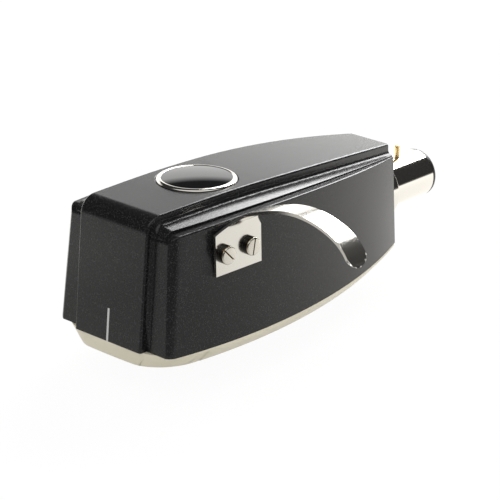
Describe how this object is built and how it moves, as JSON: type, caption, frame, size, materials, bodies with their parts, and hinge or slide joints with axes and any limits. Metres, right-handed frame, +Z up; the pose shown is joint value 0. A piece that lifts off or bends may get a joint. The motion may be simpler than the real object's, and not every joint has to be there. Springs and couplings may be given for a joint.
{
  "type": "turntable stylus cartridge",
  "caption": "Plug-in moving-coil pick-up head: black stepped shell over an ivory base, side finger lift, rear collar and contact plug, sprung cantilever with stylus.",
  "frame": {"origin": "on the axis of the rear plug, at the rear face of its collar, where the arm's socket stops", "axes": "+Y back along the plug into the arm, +X to the finger lift side, +Z up; the front faces -Y"},
  "size_m": [0.0503, 0.072, 0.0282],
  "materials": {
    "shell": "satin black moulding with a fine texture",
    "cover": "plain ivory moulding",
    "chrome": "polished",
    "badge_black": "polished black, bare",
    "white_line": "white fill",
    "lift_metal": "satin nickel plate",
    "screw_brass": "pale plated brass",
    "insulator": "brown moulding",
    "contact_gold": "gilt",
    "steel": "plain",
    "magnet": "cast and ground",
    "rubber": "soft",
    "former": "resin",
    "copper": "enamelled copper winding",
    "alloy": "drawn tube",
    "diamond": "ground point",
    "terminal": "laminate",
    "lead_white": "insulated lead",
    "lead_blue": "insulated lead",
    "lead_red": "insulated lead",
    "lead_green": "insulated lead"
  },
  "bodies": {
    "head": {"upper_shell": "shell", "bottom_cover": "cover", "badge_rim": "chrome", "badge_dome": "badge_black", "marker_line": "white_line", "finger_lift": "lift_metal", "finger_lift_screws": "screw_brass", "plug_sleeve": "chrome", "locating_pin": "steel", "bottom_cover_screws": "steel", "plug_insulator": "insulator", "contact_pins": "contact_gold", "plug_set_screw": "steel", "generator_bracket": "steel", "generator_screws": "steel", "magnet": "magnet", "front_yoke": "steel", "rear_yoke": "steel", "pole_pin": "steel", "pole_pin_screw": "steel", "tie_wire": "steel", "terminal_block": "terminal", "terminal_pins": "contact_gold", "lead_left_signal": "lead_white", "lead_left_return": "lead_blue", "lead_right_signal": "lead_red", "lead_right_return": "lead_green"},
    "damper": {"damper_ring": "rubber"},
    "moving_coil": {"coil_former": "former", "coils": "copper", "cantilever": "alloy", "stylus_tip": "diamond"}
  },
  "joints": [
    {"name": "stylus_lateral", "type": "hinge", "parent": "head", "child": "damper", "pos_m": [0, -0.0452, -0.0102], "axis": [0, -0.3511, 0.9363], "range_deg": [-4, 4], "stiffness_Nm_per_rad": 0.0055, "deforming": ["damper_ring"]},
    {"name": "stylus_vertical", "type": "hinge", "parent": "damper", "child": "moving_coil", "pos_m": [0, -0.0452, -0.0102], "axis": [1, 0, 0], "range_deg": [-5, 4], "stiffness_Nm_per_rad": 0.0055, "deforming": ["damper_ring"]}
  ]
}
